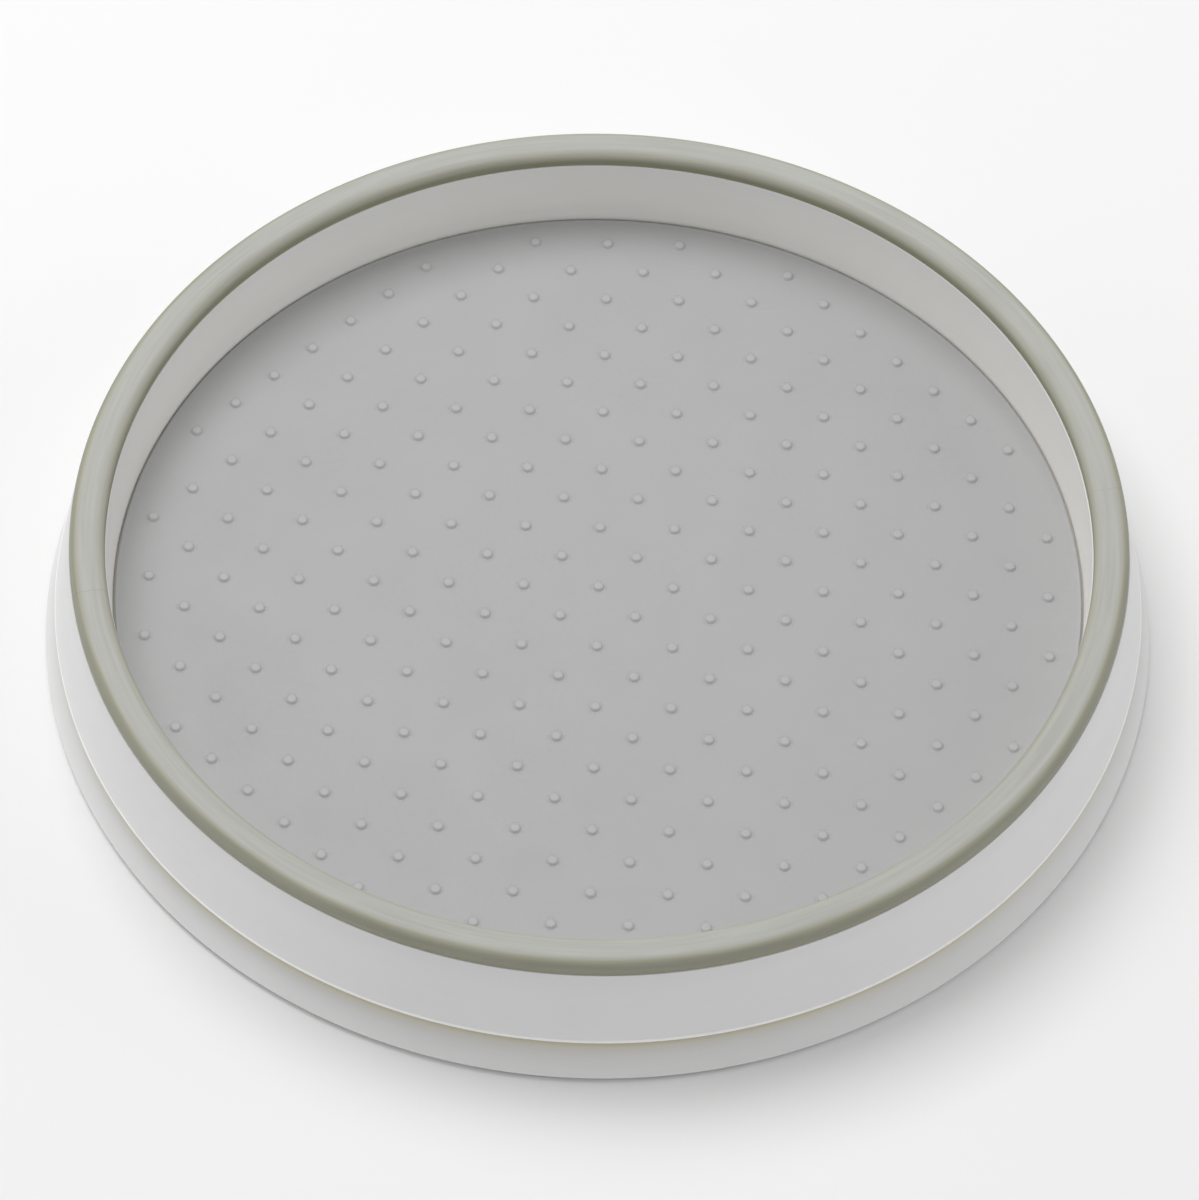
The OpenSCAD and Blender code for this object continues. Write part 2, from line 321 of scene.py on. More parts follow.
def ring_of_posts(name, points, count, ring_radius, first_angle=0.0, steps=SMALL_TURN_STEPS):
    """The same turned outline, repeated on a circle round the axis."""
    bm = bmesh.new()
    for k in range(count):
        angle = first_angle + 2 * math.pi * k / count
        add_turned(bm, points, steps, (ring_radius * math.cos(angle), ring_radius * math.sin(angle)))
    return finished_object(name, bm)


def combine(target, tool, operation):
    """Joins a tool shape to the target, or cuts it away, and removes the tool."""
    step = target.modifiers.new("combine", "BOOLEAN")
    step.operation = operation
    step.solver = "EXACT"
    step.object = tool
    depsgraph = bpy.context.evaluated_depsgraph_get()
    mesh = bpy.data.meshes.new_from_object(target.evaluated_get(depsgraph))
    target.modifiers.clear()
    old = target.data
    target.data = mesh
    mesh.name = target.name
    bpy.data.meshes.remove(old)
    used = tool.data
    bpy.data.objects.remove(tool)
    bpy.data.meshes.remove(used)
    if not mesh.polygons:
        raise RuntimeError(f"combining a tool with {target.name} left nothing")
    shade(mesh)


def post(radius, low, high):
    """Outline of a plain round tool shape."""
    return [Vector((0, low)), Vector((radius, low)), Vector((radius, high)), Vector((0, high))]


def settle(piece, body, nodes, material):
    """Gives a piece its material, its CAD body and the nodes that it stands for."""
    piece.data.materials.clear()
    piece.data.materials.append(material)
    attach(piece, body)
    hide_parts(*nodes)
    return piece


# ---------------------------------------------------------------- materials

class Bench:
    """A material being wired up: short calls for the few nodes that the finishes share."""

    def __init__(self, name):
        self.material = bpy.data.materials.new(name)
        self.material.use_nodes = True
        self.tree = self.material.node_tree
        self.shader = self.tree.nodes["Principled BSDF"]
        self.place = self.add("ShaderNodeTexCoord").outputs["Object"]

    def add(self, kind, **settings):
        node = self.tree.nodes.new(kind)
        for key, value in settings.items():
            setattr(node, key, value)
        return node

    def link(self, source, socket):
        self.tree.links.new(source, socket)

    def vector(self, operation, first, second=None):
        """A vector math node fed by an output and, where given, a second output or a fixed vector."""
        node = self.add("ShaderNodeVectorMath", operation=operation)
        self.link(first, node.inputs[0])
        if isinstance(second, tuple):
            node.inputs[1].default_value = second
        elif second is not None:
            self.link(second, node.inputs[1])
        return node

    def plain(self, **values):
        """Sets the shader's own sockets, named with _ for a space."""
        for name, value in values.items():
            self.shader.inputs[name.replace("_", " ")].default_value = value

    def finish(self, colour, roughness, normal, **values):
        """Wires colour, roughness and normal to the shader and sets its plain sockets."""
        for name, source in (("Base Color", colour), ("Roughness", roughness), ("Normal", normal)):
            self.link(source, self.shader.inputs[name])
        self.plain(**values)
        return self.material

    def noise(self, scale, detail=3.0, roughness=0.5, where=None):
        node = self.add("ShaderNodeTexNoise")
        node.inputs["Scale"].default_value = scale
        node.inputs["Detail"].default_value = detail
        node.inputs["Roughness"].default_value = roughness
        self.link(where or self.place, node.inputs["Vector"])
        return node.outputs["Fac"]

    def patches(self, scale, detail, roughness, low, high, out_low=0, out_high=1):
        """Cloudy patches: noise whose low..high is mapped to out_low..out_high."""
        return self.span(self.noise(scale, detail, roughness), low, high, out_low, out_high)

    def specks(self, under, rgb, scale, size, share, strength, darkness):
        """Lays sparse darker specks over a colour."""
        here = self.math("MULTIPLY", self.spots(scale, size, share), strength)
        return self.blend(here, under, shaded(rgb, darkness))

    def spots(self, scale, size, share):
        """1 on sparse round specks of about size metres; share is how many cells hold one."""
        cells = self.add("ShaderNodeTexVoronoi")
        cells.inputs["Scale"].default_value = scale
        self.link(self.place, cells.inputs["Vector"])
        near = self.span(cells.outputs["Distance"], size * scale, size * scale * 0.4, 0, 1)
        parts = self.add("ShaderNodeSeparateColor")
        self.link(cells.outputs["Color"], parts.inputs["Color"])
        chosen = self.math("LESS_THAN", parts.outputs["Red"], share)
        return self.math("MULTIPLY", near, chosen)

    def math(self, operation, first, second=0.0):
        node = self.add("ShaderNodeMath", operation=operation)
        for socket, value in zip(node.inputs, (first, second)):
            if isinstance(value, (int, float)):
                socket.default_value = value
            else:
                self.link(value, socket)
        return node.outputs[0]

    def span(self, value, low, high, out_low, out_high):
        """Maps low..high to out_low..out_high, held at the ends."""
        node = self.add("ShaderNodeMapRange")
        self.link(value, node.inputs["Value"])
        for name, number in (("From Min", low), ("From Max", high), ("To Min", out_low),
                             ("To Max", out_high)):
            node.inputs[name].default_value = number
        return node.outputs["Result"]

    def blend(self, share, first, second):
        """first where share is 0 and second where it is 1; either is a colour or an output."""
        node = self.add("ShaderNodeMix", data_type="RGBA")
        self.link(share, node.inputs[0])
        for socket, value in ((node.inputs[6], first), (node.inputs[7], second)):
            if isinstance(value, tuple):
                socket.default_value = (*value, 1.0)
            else:
                self.link(value, socket)
        return node.outputs[2]

    def tinted(self, colour, value, stops):
        """Multiplies a colour by tints: (value, tint) in rising order, a tint being a number or rgb."""
        low, high = stops[0][0], stops[-1][0]
        ramp = self.add("ShaderNodeValToRGB")
        self.link(self.span(value, low, high, 0, 1), ramp.inputs["Fac"])
        marks = ramp.color_ramp.elements
        for place, tint in stops:
            if place == low:
                mark = marks[0]
            elif place == high:
                mark = marks[len(marks) - 1]
            else:
                mark = marks.new((place - low) / (high - low))
            mark.color = (*tint, 1) if isinstance(tint, tuple) else (tint, tint, tint, 1)
        node = self.add("ShaderNodeMix", data_type="RGBA", blend_type="MULTIPLY")
        node.inputs[0].default_value = 1
        self.link(colour, node.inputs[6])
        self.link(ramp.outputs["Color"], node.inputs[7])
        return node.outputs[2]

    def bump(self, height, strength, distance, under=None):
        node = self.add("ShaderNodeBump")
        node.inputs["Strength"].default_value = strength
        node.inputs["Distance"].default_value = distance
        self.link(height, node.inputs["Height"])
        if under is not None:
            self.link(under, node.inputs["Normal"])
        return node.outputs["Normal"]

    def round_streaks(self, along, across):
        """Noise drawn out round the axis: low frequency along the circle, high across it."""
        heading = self.vector("NORMALIZE", self.flat())
        slow = self.vector("SCALE", heading.outputs["Vector"])
        slow.inputs["Scale"].default_value = along
        lift = self.add("ShaderNodeCombineXYZ")
        self.link(self.math("MULTIPLY", self.radius(), across), lift.inputs["Z"])
        where = self.vector("ADD", slow.outputs["Vector"], lift.outputs["Vector"])
        node = self.add("ShaderNodeTexNoise", noise_dimensions="4D")
        node.inputs["Scale"].default_value = 1.0
        node.inputs["Detail"].default_value = 3.0
        self.link(where.outputs["Vector"], node.inputs["Vector"])
        self.link(self.math("MULTIPLY", self.height(), across), node.inputs["W"])
        return node.outputs["Fac"]

    def weld_line(self, angle, aside, half_width):
        """1 on a wavering hairline that passes the axis aside, where two flows of rubber met."""
        across = self.vector("DOT_PRODUCT", self.place, (-math.sin(angle), math.cos(angle), 0))
        waver = self.span(self.noise(180, 3), 0.2, 0.8, aside - 0.6 * MM, aside + 0.6 * MM)
        apart = self.math("ABSOLUTE", self.math("ADD", across.outputs["Value"], waver))
        return self.span(apart, half_width * 0.5, half_width * 1.5, 1, 0)

    def height(self):
        parts = self.add("ShaderNodeSeparateXYZ")
        self.link(self.place, parts.inputs["Vector"])
        return parts.outputs["Z"]

    def flat(self):
        """The place with its height set to nothing."""
        return self.vector("MULTIPLY", self.place, (1, 1, 0)).outputs["Vector"]

    def radius(self):
        """Distance from the turning axis."""
        return self.vector("LENGTH", self.flat()).outputs["Value"]


def shaded(rgb, factor):
    """The colour made lighter or darker by a factor."""
    return tuple(min(1.0, part * factor) for part in rgb)


def stops(origin, *marks):
    """Places for tints: each mark is (millimetres past the origin, tint)."""
    return [(origin + past * MM, tint) for past, tint in marks]


def moulded_plastic(name, rgb, scuff_low, scuff_high, outer_tints, inner_tints=None, divide=0.0):
    """Satin polypropylene: fine spark texture, faint flow clouds, dust and scuffs on the lower edge.

    The tints run up the wall as painted shade and painted light: darker in a seam and under overhangs,
    lighter where bounced light falls. Inside the divide radius the inner ones hold.
    """
    b = Bench(name)
    plain = b.blend(b.patches(14, 4, 0.55, 0.3, 0.7), shaded(rgb, 0.972), shaded(rgb, 1.012))
    flow = b.round_streaks(3, 260)
    drawn = b.blend(b.span(flow, 0.42, 0.66, 0, 0.35), plain, shaded(rgb, 1.02))
    dusty = b.specks(drawn, rgb, 110, 0.22 * MM, 0.10, 0.55, 0.62)
    rub = b.math("MULTIPLY", b.span(b.height(), scuff_high, scuff_low, 0, 1),
                 b.patches(160, 5, 0.6, 0.46, 0.68, 0, 0.5))
    worn = b.blend(rub, dusty, shaded(rgb, 0.86))
    # painted shade and painted light: height tints standing in for shade in seams and light bounced onto
    # the wall
    tinted = b.tinted(worn, b.height(), outer_tints)
    if inner_tints:
        inside = b.math("LESS_THAN", b.radius(), divide)
        tinted = b.blend(inside, tinted, b.tinted(worn, b.height(), inner_tints))
    satin = b.patches(90, 5, 0.6, 0.25, 0.75, 0.38, 0.52)
    grain = b.bump(b.noise(2600, 2, 0.5), 0.10, 0.05 * MM)
    waves = b.bump(b.noise(34, 2, 0.5), 0.05, 0.6 * MM, grain)
    return b.finish(tinted, satin, waves, Subsurface_Weight=0.06, Subsurface_Radius=(1.0, 0.95, 0.85),
                    Subsurface_Scale=1.5 * MM, IOR=1.49)


def soft_grip(rgb, middle, seat, crown):
    """Matt sage elastomer: streaks round the ring, a dry bloom, pores, specks and painted shade darkening
    the sides.
    """
    b = Bench("sage_elastomer")
    streaks = b.round_streaks(5, 900)
    drawn = b.blend(b.span(streaks, 0.36, 0.64, 0, 1), shaded(rgb, 0.94), shaded(rgb, 1.05))
    weld = b.weld_line(math.radians(9), 3.9 * MM, 0.12 * MM)
    drawn = b.blend(b.math("MULTIPLY", weld, 0.5), drawn, shaded(rgb, 0.72))
    bloom = b.patches(26, 5, 0.6, 0.45, 0.75, 0, 0.45)
    bloomed = b.blend(bloom, drawn, shaded((rgb[0], rgb[1], rgb[2] * 1.04), 1.08))
    specked = b.specks(bloomed, rgb, 150, 0.3 * MM, 0.14, 0.5, 0.55)
    # painted shade: outer and inner sides darker and yellower from the crown down to the seat
    outer = b.tinted(specked, b.height(), stops(seat, (0, (0.64, 0.63, 0.50))) + stops(
        crown, (-2.7, (0.65, 0.64, 0.53)), (-1.6, (0.67, 0.67, 0.59)), (-1.0, (0.69, 0.68, 0.56)),
        (-0.55, (0.77, 0.76, 0.63)), (-0.25, (0.92, 0.91, 0.82)), (0, 1.01)))
    inner = b.tinted(specked, b.height(), stops(seat, (0, (0.62, 0.61, 0.44))) + stops(
        crown, (-3.2, (0.62, 0.61, 0.44)), (-2.4, (0.70, 0.70, 0.57)), (-1.9, (0.82, 0.82, 0.71)),
        (-1.2, (0.91, 0.90, 0.81)), (-0.6, (0.98, 0.97, 0.91)), (0, 1.0)))
    inside = b.math("LESS_THAN", b.radius(), middle)
    colour = b.blend(inside, outer, inner)
    matt = b.patches(60, 4, 0.6, 0.3, 0.7, 0.56, 0.72)
    pores = b.bump(b.noise(1500, 3, 0.6), 0.22, 0.06 * MM)
    raised = b.bump(streaks, 0.10, 0.08 * MM, pores)
    return b.finish(colour, matt, b.bump(weld, 0.3, 0.05 * MM, raised), Sheen_Weight=0.08,
                    Sheen_Roughness=0.5, Specular_IOR_Level=0.35)


def bumped_grey(rgb, face_height, bump_height, edge):
    """Non-slip mat: even grey, faint mottle, hair scratches, specks and painted highlights on the bump
    tops.
    """
    b = Bench("grey_mat_elastomer")
    plain = b.blend(b.patches(30, 5, 0.55, 0.3, 0.7), shaded(rgb, 0.975), shaded(rgb, 1.02))
    fine = b.blend(b.patches(700, 3, 0.5, 0.3, 0.7), plain, shaded(rgb, 1.012))
    stretch = b.add("ShaderNodeMapping")
    b.link(b.place, stretch.inputs["Vector"])
    stretch.inputs["Rotation"].default_value = (0, 0, math.radians(38))
    stretch.inputs["Scale"].default_value = (1, 46, 1)
    hair = b.span(b.noise(16, 2, 0.4, stretch.outputs["Vector"]), 0.735, 0.76, 0, 1)
    hair_here = b.math("MULTIPLY", hair, b.patches(11, 2, 0.5, 0.56, 0.66, 0, 0.4))
    scratched = b.blend(hair_here, fine, shaded(rgb, 1.16))
    specked = b.specks(scratched, rgb, 70, 0.4 * MM, 0.06, 0.4, 0.6)
    # painted highlight: the upper part of each bump paler
    painted_top_highlight = b.span(b.height(), face_height + bump_height * 0.6, face_height + bump_height * 0.95, 0, 0.8)
    topped = b.blend(painted_top_highlight, specked, shaded(rgb, 1.09))
    # a lighter band inside the mat's rounded edge, partly edge wear and partly a painted highlight,
    # turning darker right at the edge
    edged = b.tinted(topped, b.radius(), stops(0, (0, 1.0)) + stops(
        edge, (-1.2, 1.0), (-0.6, 1.04), (-0.2, 1.08), (0, 0.9)))
    matt = b.patches(45, 4, 0.6, 0.3, 0.7, 0.50, 0.64)
    grain = b.bump(b.noise(1900, 2, 0.5), 0.14, 0.05 * MM)
    return b.finish(edged, matt, b.bump(hair_here, 0.15, 0.03 * MM, grain), Specular_IOR_Level=0.4)


def dark_rubber(rgb):
    """Moulded rubber of the feet: dusty, dull, with a grey bloom."""
    b = Bench("foot_rubber")
    bloomed = b.blend(b.patches(120, 5, 0.6, 0.4, 0.7), rgb, shaded(rgb, 1.7))
    dull = b.patches(300, 3, 0.5, 0.3, 0.7, 0.68, 0.85)
    return b.finish(bloomed, dull, b.bump(b.noise(2200, 3), 0.25, 0.06 * MM))


def natural_acetal(name, rgb, gloss):
    """Waxy acetal with faint flow marks; gloss is its middle roughness."""
    b = Bench(name)
    flow = b.blend(b.patches(60, 4, 0.6, 0.3, 0.7), shaded(rgb, 0.95), shaded(rgb, 1.03))
    waxy = b.patches(200, 4, 0.5, 0.3, 0.7, gloss - 0.06, gloss + 0.08)
    return b.finish(flow, waxy, b.bump(b.noise(1800, 2), 0.08, 0.04 * MM), Subsurface_Weight=0.1,
                    Subsurface_Scale=1 * MM)


def plated_steel(name, rgb, low_gloss, high_gloss, turned_marks):
    """Bright metal with round tool marks and tumbled blotches."""
    b = Bench(name)
    colour = b.blend(b.patches(500, 5, 0.6, 0.35, 0.65), shaded(rgb, 0.86), rgb)
    marks = b.round_streaks(2, 9000)
    return b.finish(colour, b.span(marks, 0.3, 0.7, low_gloss, high_gloss),
                    b.bump(marks, turned_marks, 0.03 * MM), Metallic=1.0)


# ---------------------------------------------------------------- pieces

class TURNTABLE_OT_base(Operator):
    """Base moulding: flared ring, dust wall, floor, lower ball track, hub, ribs and feet seats"""

    bl_idname = "turntable.base"
    bl_label = "Base Moulding"

    def execute(self, context):
        s = context.scene.turntable_base
        t = context.scene.turntable_bearing
        piece = turned("base_moulding", base_outline(s, t))
        combine(piece, self.channel_ribs(s), "UNION")
        combine(piece, self.floor_ribs(s, t), "UNION")
        combine(piece, self.foot_bosses(s), "UNION")
        combine(piece, self.foot_seats(s), "DIFFERENCE")
        look = moulded_plastic("base_polypropylene", tuple(context.scene.turntable_looks.base_white),
                               base_low.z, base_low.z + 2.5 * MM, self.painted_seam_shade_and_floor_light(s))
        settle(piece, "base", ["base_shell"], look)
        return {"FINISHED"}

    @staticmethod
    def painted_seam_shade_and_floor_light(s):
        """Painted floor light towards the table, lighter at the foot, and warm painted shade in the seam
        under the tray's skirt.
        """
        # painted light: lighter towards the table, where the floor's light falls
        foot = stops(base_low.z, (0, 1.26), (0.9, 1.14), (1.6, 1.04), (3.2, 1.01))
        # painted shade: darker and warmer up into the seam under the skirt's overhang
        return foot + stops(
            s.shoulder_height, (-7.1, 0.975), (-5.5, 0.94), (-4.7, (0.92, 0.91, 0.895)),
            (-3.9, (0.89, 0.88, 0.85)), (-3.2, (0.86, 0.855, 0.82)), (-2.4, (0.855, 0.825, 0.71)),
            (-1.6, (0.76, 0.71, 0.56)), (-0.8, (0.62, 0.55, 0.41)), (-0.4, (0.38, 0.32, 0.22)))

    @staticmethod
    def channel_ribs(s):
        foot, head = flare_ends(s)
        low = s.floor_height + 1 * MM
        low_radius = foot.x + (head.x - foot.x) * (low - foot.y) / (head.y - foot.y)
        corners = [(s.dust_wall_radius, low), (low_radius, low), tuple(head), (s.dust_wall_radius, head.y)]
        return ring_of_ribs("channel_ribs", corners, RIB_WALL, WALL_RIBS)

    @staticmethod
    def floor_ribs(s, t):
        low = s.floor_height + s.wall * 0.9
        high = s.floor_height + s.wall + 1.6 * MM
        return spokes("floor_ribs", t, (s.hub_radius - 1 * MM, s.dust_wall_radius), low, high, 0.5)

    @staticmethod
    def foot_bosses(s):
        radius = (foot_high.x - foot_low.x) / 2 + 2 * MM
        outline = post(radius, s.floor_height + s.wall / 2, foot_high.z + 1.6 * MM)
        return ring_of_posts("foot_bosses", outline, len(FEET), s.foot_ring_radius)

    @staticmethod
    def foot_seats(s):
        radius = (foot_high.x - foot_low.x) / 2 + 0.15 * MM
        outline = post(radius, s.floor_height - 2 * MM, foot_high.z)
        return ring_of_posts("foot_seats", outline, len(FEET), s.foot_ring_radius)


def flare_ends(s):
    """Lower and upper end of the flared wall, on its middle line."""
    edge = s.wall / 2
    foot = Vector((s.outside_radius - edge, base_low.z + edge))
    head = Vector((s.shoulder_radius - edge, s.shoulder_height - edge))
    return foot, head


def base_outline(s, t):
    """Closed section of the base, from the hub's bore out along the underside and back over the top."""
    edge = s.wall / 2
    floor_top = s.floor_height + s.wall
    ledge_under = s.shoulder_height - s.wall
    dust_in = s.dust_wall_radius - edge
    dust_out = s.dust_wall_radius + edge
    hub_seat = slip_high.z + 0.05 * MM
    hub_top = ball_height + 1.7 * MM
    hub_neck = s.bore_radius + 3 * MM
    foot, head = flare_ends(s)
    along = (head - foot).normalized()
    outer_foot, outer_head = offset_line(foot, head, edge)
    inner_foot, inner_head = offset_line(foot, head, -edge)
    drop = along * edge
    rise = along * (edge * 0.75)
    underside = [
        (s.bore_radius, hub_seat, 0.15 * MM),
        (s.well_radius, hub_seat, SMALL),
        (s.well_radius, s.floor_height, 0.4 * MM),
        (dust_out, s.floor_height, 0.9 * MM),
        (dust_out, ledge_under, 0.2 * MM),
        (inner_head.x + (ledge_under - inner_head.y) * along.x / along.y, ledge_under, 0.2 * MM),
        (*(inner_foot - drop), 0.98 * edge),
        (*(outer_foot - drop), 0.98 * edge),
        (*(outer_head + rise), 0.8 * MM),
        (dust_out, s.shoulder_height, SMALL),
        (dust_out, base_top.z, 0.9 * MM),
        (dust_in, base_top.z, 0.9 * MM),
        (dust_in, floor_top, 0.6 * MM),
    ]
    land = ball_height - t.land_gap
    return rounded([
        *underside,
        *track_land(t, land, floor_top),
        (s.hub_radius, floor_top, SOFT),
        (s.hub_radius, hub_seat + 1.4 * MM, 0.4 * MM),
        (hub_neck, hub_seat + 1.4 * MM, SMALL),
        (hub_neck, hub_top, 0.4 * MM),
        (s.bore_radius, hub_top, SMALL),
    ])


def track_land(t, land, root):
    """Corners of a moulded ball track standing on a floor at root, from the outside inwards."""
    outer, inner = t.track_radius + t.track_width / 2, t.track_radius - t.track_width / 2
    return [(outer, root, SMALL), (outer, land, SMALL), *groove(t, land), (inner, land, SMALL),
            (inner, root, SMALL)]


def groove(t, land):
    """The ball groove cut into a track land, from the outside inwards."""
    centre = (t.track_radius, ball_height)
    reach = math.degrees(math.asin((land - centre[1]) / t.groove_radius))
    if land < centre[1]:
        return arc(centre, t.groove_radius, reach, -180 - reach, 16)
    return arc(centre, t.groove_radius, reach, 180 - reach, 16)


class TURNTABLE_OT_feet(Operator):
    """Rubber feet: domed edge, seat rim and a ring tread on the underside"""

    bl_idname = "turntable.feet"
    bl_label = "Rubber Feet"

    def execute(self, context):
        look = dark_rubber(tuple(context.scene.turntable_looks.foot_grey))
        for name in FEET:
            low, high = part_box(name)
            centre = ((low.x + high.x) / 2, (low.y + high.y) / 2)
            piece = turned(f"{name}_pad", self.outline(foot_high.x - foot_low.x), SMALL_TURN_STEPS, centre)
            settle(piece, "base", [name], look)
        return {"FINISHED"}

    @staticmethod
    def outline(across):
        """From the middle of the underside outwards and back over the top."""
        radius = across / 2
        low, high = foot_low.z, foot_high.z
        tread = []
        for k in range(3):
            ring = radius * (0.3 + 0.2 * k)
            tread += [(ring, low, 0.12 * MM), (ring + 0.2 * MM, low + 0.35 * MM, 0.1 * MM),
                      (ring + 0.6 * MM, low + 0.35 * MM, 0.1 * MM), (ring + 0.8 * MM, low, 0.12 * MM)]
        return rounded([(0, low, 0), *tread, (radius, low, 0.6 * MM), (radius, high, 0.2 * MM),
                        (0, high, 0)], 4, 0.05 * MM)


class TURNTABLE_OT_tray(Operator):
    """Tray moulding: floor, double wall, upper ball track, centre journal and hidden ribs"""

    bl_idname = "turntable.tray"
    bl_label = "Tray Moulding"

    def execute(self, context):
        s = context.scene.turntable_tray
        t = context.scene.turntable_bearing
        shank = context.scene.turntable_pivot.shank_radius
        piece = turned("tray_moulding", self.outline(s, t, shank), closed=False)
        combine(piece, self.wall_ribs(s), "UNION")
        combine(piece, self.floor_ribs(s, t), "UNION")
        look = moulded_plastic("tray_polypropylene", tuple(context.scene.turntable_looks.tray_white),
                               s.skirt_foot_height, s.skirt_foot_height + 2 * MM,
                               *self.painted_wall_light_and_shade(s), wall_middle(s))
        settle(piece, "tray", ["tray_shell"], look)
        return {"FINISHED"}

    @staticmethod
    def painted_wall_light_and_shade(s):
        """Tints up the skirt and up the inner wall: a painted reflection on the hem, painted shade towards
        the grip, and painted light lifting the inner wall above its darker foot beside the mat.
        """
        seat = tray_top.z
        # painted reflection: the hem lighter where it would mirror the bright floor; painted shade: the
        # skirt darker towards the grip
        hem = stops(s.skirt_foot_height, (0, 1.22), (0.7, 1.22), (1.1, 0.965))
        skirt = hem + stops(seat, (-22, 0.965), (-16, 0.945), (-6, 0.93), (0, 0.885))
        # painted light lifts the inner wall above a darker foot beside the mat
        inner = stops(mat_low.z, (0, (0.74, 0.71, 0.65)), (0.7, (1.08, 1.06, 0.99)),
                      (1.3, (1.18, 1.17, 1.13)), (2.2, (1.16, 1.15, 1.11)), (5, (1.11, 1.10, 1.06)),
                      (10, (1.10, 1.09, 1.05)), (15, (1.075, 1.065, 1.03)))
        return skirt, inner + stops(seat, (0, (1.025, 1.02, 1.0)))

    @staticmethod
    def outline(s, t, shank_radius):
        """Open section from the axis under the floor, out round the double wall, back to the axis."""
        edge = s.wall / 2
        floor_top = mat_low.z
        floor_under = floor_top - s.floor_wall
        seat = tray_top.z
        web = seat - s.wall
        pilot = shank_radius + 0.05 * MM
        pilot_top = floor_top - 1.3 * MM
        journal_end = washer_high.z
        land = ball_height + t.land_gap
        head = Vector((s.skirt_top_radius - edge, seat - edge))
        hem = Vector((s.skirt_foot_radius - edge, s.skirt_foot_height + edge))
        along = (hem - head).normalized()
        outer_head, outer_hem = offset_line(head, hem, -edge)
        inner_head, inner_hem = offset_line(head, hem, edge)
        tongue = s.tongue_width / 2
        middle = wall_middle(s)
        corners = [
            (pilot, pilot_top, 0.2 * MM),
            (pilot, journal_end, FINE),
            (s.journal_radius, journal_end, SOFT),
            (s.journal_radius, floor_under, SOFT),
            *reversed(track_land(t, land, floor_under)),
            (s.inner_foot_radius + s.wall, floor_under, SOFT),
            (s.inner_top_radius + s.wall, web, SOFT),
            (*(inner_head + along * edge), SOFT),
            (inner_hem.x, s.skirt_foot_height, SOFT),
            (s.skirt_foot_radius + s.hem_lip, s.skirt_foot_height, 0.12 * MM),
            (s.skirt_foot_radius + s.hem_lip, s.skirt_foot_height + s.lip_rise, 0.12 * MM),
            (*(outer_hem - along * (s.lip_rise - edge)), 0.12 * MM),
            (s.skirt_top_radius, seat, 0.16 * MM),
            (middle + tongue, seat, FINE),
            (middle + tongue, grip_low.z, FINE),
            (middle - tongue, grip_low.z, FINE),
            (middle - tongue, seat, FINE),
            (s.inner_top_radius, seat, 0.16 * MM),
            (s.inner_foot_radius, floor_top, 0.4 * MM),
        ]
        return rounded([(0, pilot_top, 0), *corners, (0, floor_top, 0)])

    @staticmethod
    def wall_ribs(s):
        low = base_top.z + 2 * MM
        high = tray_top.z - s.wall / 2
        foot = s.skirt_top_radius - s.wall / 2 + (high - low) * math.tan(SKIRT_LEAN)
        corners = [(s.inner_foot_radius + 1.4 * MM, low), (foot, low),
                   (s.skirt_top_radius - s.wall / 2, high), (s.inner_top_radius + s.wall / 2, high)]
        return ring_of_ribs("wall_ribs", corners, RIB_WALL, WALL_RIBS)

    @staticmethod
    def floor_ribs(s, t):
        high = mat_low.z - s.floor_wall * 0.9
        low = mat_low.z - s.floor_wall - 1.3 * MM
        return spokes("tray_floor_ribs", t, (15 * MM, s.inner_foot_radius), low, high, 0)


def wall_middle(s):
    """Radius halfway through the tray's double wall, where the grip sits."""
    return (s.inner_top_radius + s.skirt_top_radius) / 2


class TURNTABLE_OT_grip(Operator):
    """Grip ring: the soft round bead on top of the wall, with the tongue that keys it in"""

    bl_idname = "turntable.grip"
    bl_label = "Grip Ring"

    def execute(self, context):
        s = context.scene.turntable_tray
        middle = wall_middle(s)
        half = grip_top.x - middle
        seat = tray_top.z
        tongue = s.tongue_width / 2
        reach = half - s.grip_shoulder
        rise = grip_top.z - s.grip_shoulder
        outline = [
            Vector((middle - tongue, seat)),
            Vector((middle - tongue, grip_low.z)),
            Vector((middle + tongue, grip_low.z)),
            Vector((middle + tongue, seat)),
            *arc((middle + half - s.grip_edge, seat + s.grip_edge), s.grip_edge, 270, 360, 4),
            *arc((middle + reach, rise), s.grip_shoulder, 0, 90, 24),
            *arc((middle - reach, rise), s.grip_shoulder, 90, 180, 24),
            *arc((middle - half + s.grip_edge, seat + s.grip_edge), s.grip_edge, 180, 270, 4),
        ]
        piece = turned("grip_ring", outline, 360)
        settle(piece, "tray", ["rim_grip"],
               soft_grip(tuple(context.scene.turntable_looks.grip_sage), middle, seat, grip_top.z))
        return {"FINISHED"}


